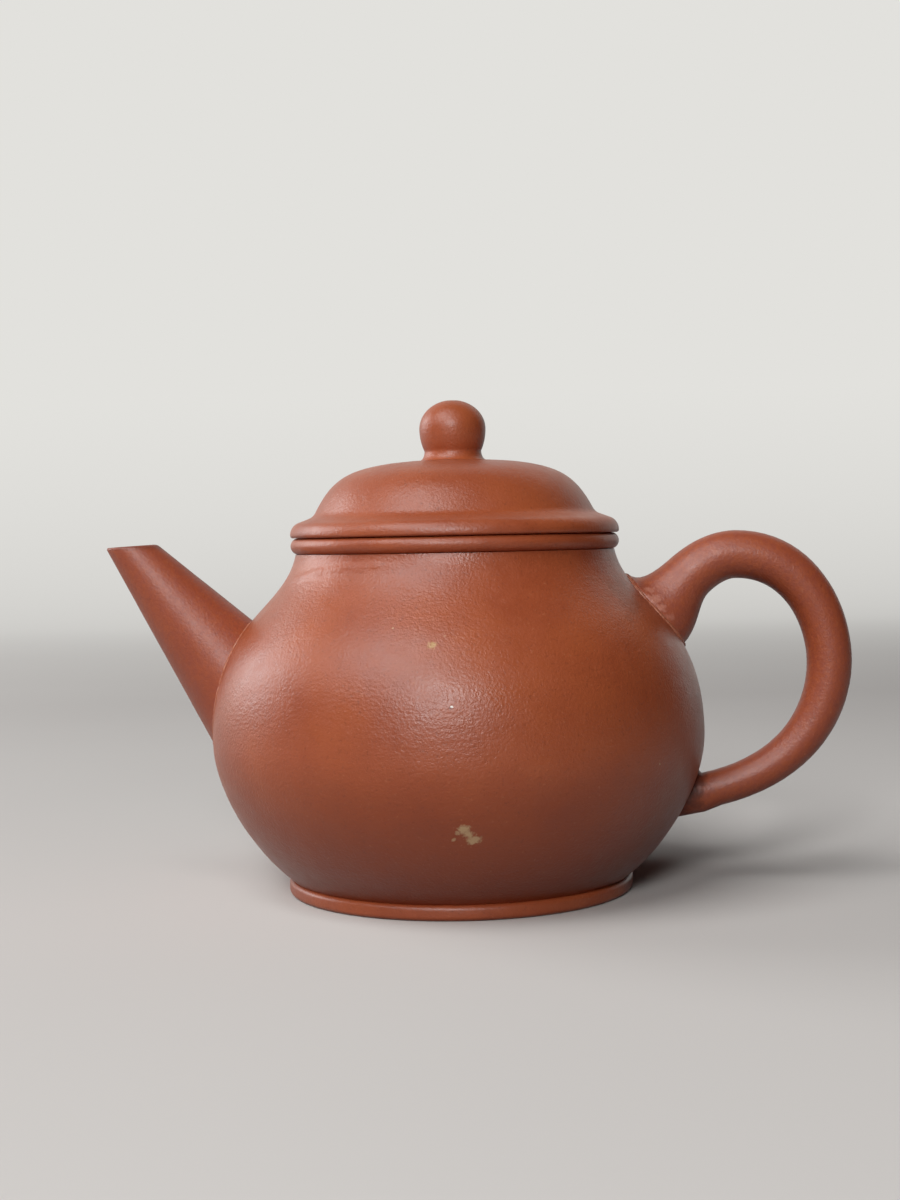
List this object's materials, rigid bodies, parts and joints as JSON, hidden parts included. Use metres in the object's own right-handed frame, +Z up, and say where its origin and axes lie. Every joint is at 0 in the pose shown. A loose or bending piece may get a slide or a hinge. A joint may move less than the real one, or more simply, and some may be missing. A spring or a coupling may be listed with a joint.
{
  "type": "clay teapot",
  "caption": "Small round unglazed clay teapot with a straight spout, a ring handle, a pierced strainer and a loose domed lid that lifts off.",
  "frame": {"origin": "centre of the foot ring's underside, on the pot's axis", "axes": "+Z up along the pot's axis, +X towards the handle, -X towards the spout"},
  "size_m": [0.1249, 0.0822, 0.0817],
  "materials": {
    "red_clay": "unglazed fine red clay with a soft satin sheen"
  },
  "bodies": {
    "pot": {"base_disc": "red_clay", "foot_ring": "red_clay", "body_wall": "red_clay", "shoulder_disc": "red_clay", "neck_ring": "red_clay", "mouth_ring": "red_clay", "spout": "red_clay", "strainer": "red_clay", "handle": "red_clay"},
    "lid": {"lid_collar": "red_clay", "lid_rim": "red_clay", "lid_disc": "red_clay", "knob_seat": "red_clay", "knob": "red_clay"}
  },
  "joints": [
    {"name": "lid_lift", "type": "slide", "parent": "pot", "child": "lid", "axis": [0, 0, 1], "range_m": [0, 0.05]}
  ]
}
